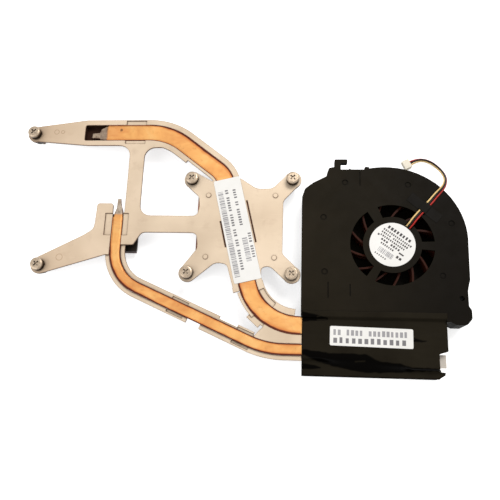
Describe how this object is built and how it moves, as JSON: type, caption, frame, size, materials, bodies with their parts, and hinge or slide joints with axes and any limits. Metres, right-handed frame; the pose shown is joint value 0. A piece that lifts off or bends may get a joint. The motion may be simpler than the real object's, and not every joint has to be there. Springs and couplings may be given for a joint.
{
  "type": "cpu heatsink",
  "caption": "Laptop cooling module: flattened copper heat pipes in stamped sheet brackets carry heat from two chips to a fin stack blown by a radial fan.",
  "frame": {"origin": "the point of the processor cold plate's contact face that lies midway between the four processor screws", "axes": "+X towards the fan, +Y away from the fin stack, +Z away from the processor, through the bracket"},
  "size_m": [0.2436, 0.1409, 0.0152],
  "materials": {
    "bracket_sheet": "matte plated",
    "copper_plate": "satin",
    "copper_pipe": "satin",
    "dark_block": "matte",
    "thermal_pad": "matte",
    "dark_foam": "matte",
    "fin_aluminium": "satin",
    "black_film": "glossy",
    "white_label": "matte",
    "black_plastic": "fine matte",
    "circuit_board": "satin",
    "motor_steel": "satin",
    "coil_wire": "glossy",
    "bearing_bronze": "satin",
    "pale_plastic": "satin",
    "shaft_steel": "polished",
    "magnet_rubber": "matte",
    "impeller_plastic": "satin",
    "wire_red": "satin",
    "wire_black": "satin",
    "wire_cream": "satin",
    "contact_metal": "satin",
    "collar_black": "matte",
    "screw_steel": "nickel plated",
    "clip_steel": "oiled",
    "spring_steel": "oiled"
  },
  "bodies": {
    "module": {"main_bracket": "bracket_sheet", "branch_bracket": "bracket_sheet", "cpu_cold_plate": "copper_plate", "gpu_cold_plate": "dark_block", "gpu_thermal_pad": "thermal_pad", "pipe_end_pad": "dark_foam", "wide_heat_pipe": "copper_pipe", "narrow_heat_pipe": "copper_pipe", "cooling_fins": "fin_aluminium", "fin_end_plate": "fin_aluminium", "duct_wrap": "black_film", "pipe_label": "white_label", "fan_label": "white_label", "duct_label": "white_label", "fan_cover": "black_plastic", "fan_housing": "black_plastic", "motor_board": "circuit_board", "stator_core": "motor_steel", "stator_coils": "coil_wire", "bearing_sleeve": "bearing_bronze", "thrust_pad": "pale_plastic", "wire_tape": "black_film", "wire_red": "wire_red", "wire_black": "wire_black", "wire_white": "wire_cream", "plug_housing": "pale_plastic", "plug_contacts": "contact_metal", "screw_collars": "collar_black", "spring_1": "spring_steel", "spring_2": "spring_steel", "spring_3": "spring_steel", "spring_4": "spring_steel", "spring_5": "spring_steel", "spring_6": "spring_steel"},
    "rotor": {"rotor_shaft": "shaft_steel", "rotor_yoke": "motor_steel", "rotor_magnet": "magnet_rubber", "impeller": "impeller_plastic"},
    "screw_body_1": {"screw_1": "screw_steel", "clip_1": "clip_steel"},
    "screw_body_2": {"screw_2": "screw_steel", "clip_2": "clip_steel"},
    "screw_body_3": {"screw_3": "screw_steel", "clip_3": "clip_steel"},
    "screw_body_4": {"screw_4": "screw_steel", "clip_4": "clip_steel"},
    "screw_body_5": {"screw_5": "screw_steel", "clip_5": "clip_steel"},
    "screw_body_6": {"screw_6": "screw_steel", "clip_6": "clip_steel"}
  },
  "joints": [
    {"name": "impeller_spin", "type": "hinge", "parent": "module", "child": "rotor", "pos_m": [0.0796, -0.01, 0], "axis": [0, 0, 1], "continuous": true},
    {"name": "screw_press_1", "type": "slide", "parent": "module", "child": "screw_body_1", "axis": [0, 0, 1], "range_m": [-0.001, 0], "stiffness_N_per_m": 400, "deforming": ["spring_1"]},
    {"name": "screw_press_2", "type": "slide", "parent": "module", "child": "screw_body_2", "axis": [0, 0, 1], "range_m": [-0.001, 0], "stiffness_N_per_m": 400, "deforming": ["spring_2"]},
    {"name": "screw_press_3", "type": "slide", "parent": "module", "child": "screw_body_3", "axis": [0, 0, 1], "range_m": [-0.001, 0], "stiffness_N_per_m": 400, "deforming": ["spring_3"]},
    {"name": "screw_press_4", "type": "slide", "parent": "module", "child": "screw_body_4", "axis": [0, 0, 1], "range_m": [-0.001, 0], "stiffness_N_per_m": 400, "deforming": ["spring_4"]},
    {"name": "screw_press_5", "type": "slide", "parent": "module", "child": "screw_body_5", "axis": [0, 0, 1], "range_m": [-0.001, 0], "stiffness_N_per_m": 400, "deforming": ["spring_5"]},
    {"name": "screw_press_6", "type": "slide", "parent": "module", "child": "screw_body_6", "axis": [0, 0, 1], "range_m": [-0.001, 0], "stiffness_N_per_m": 400, "deforming": ["spring_6"]}
  ]
}
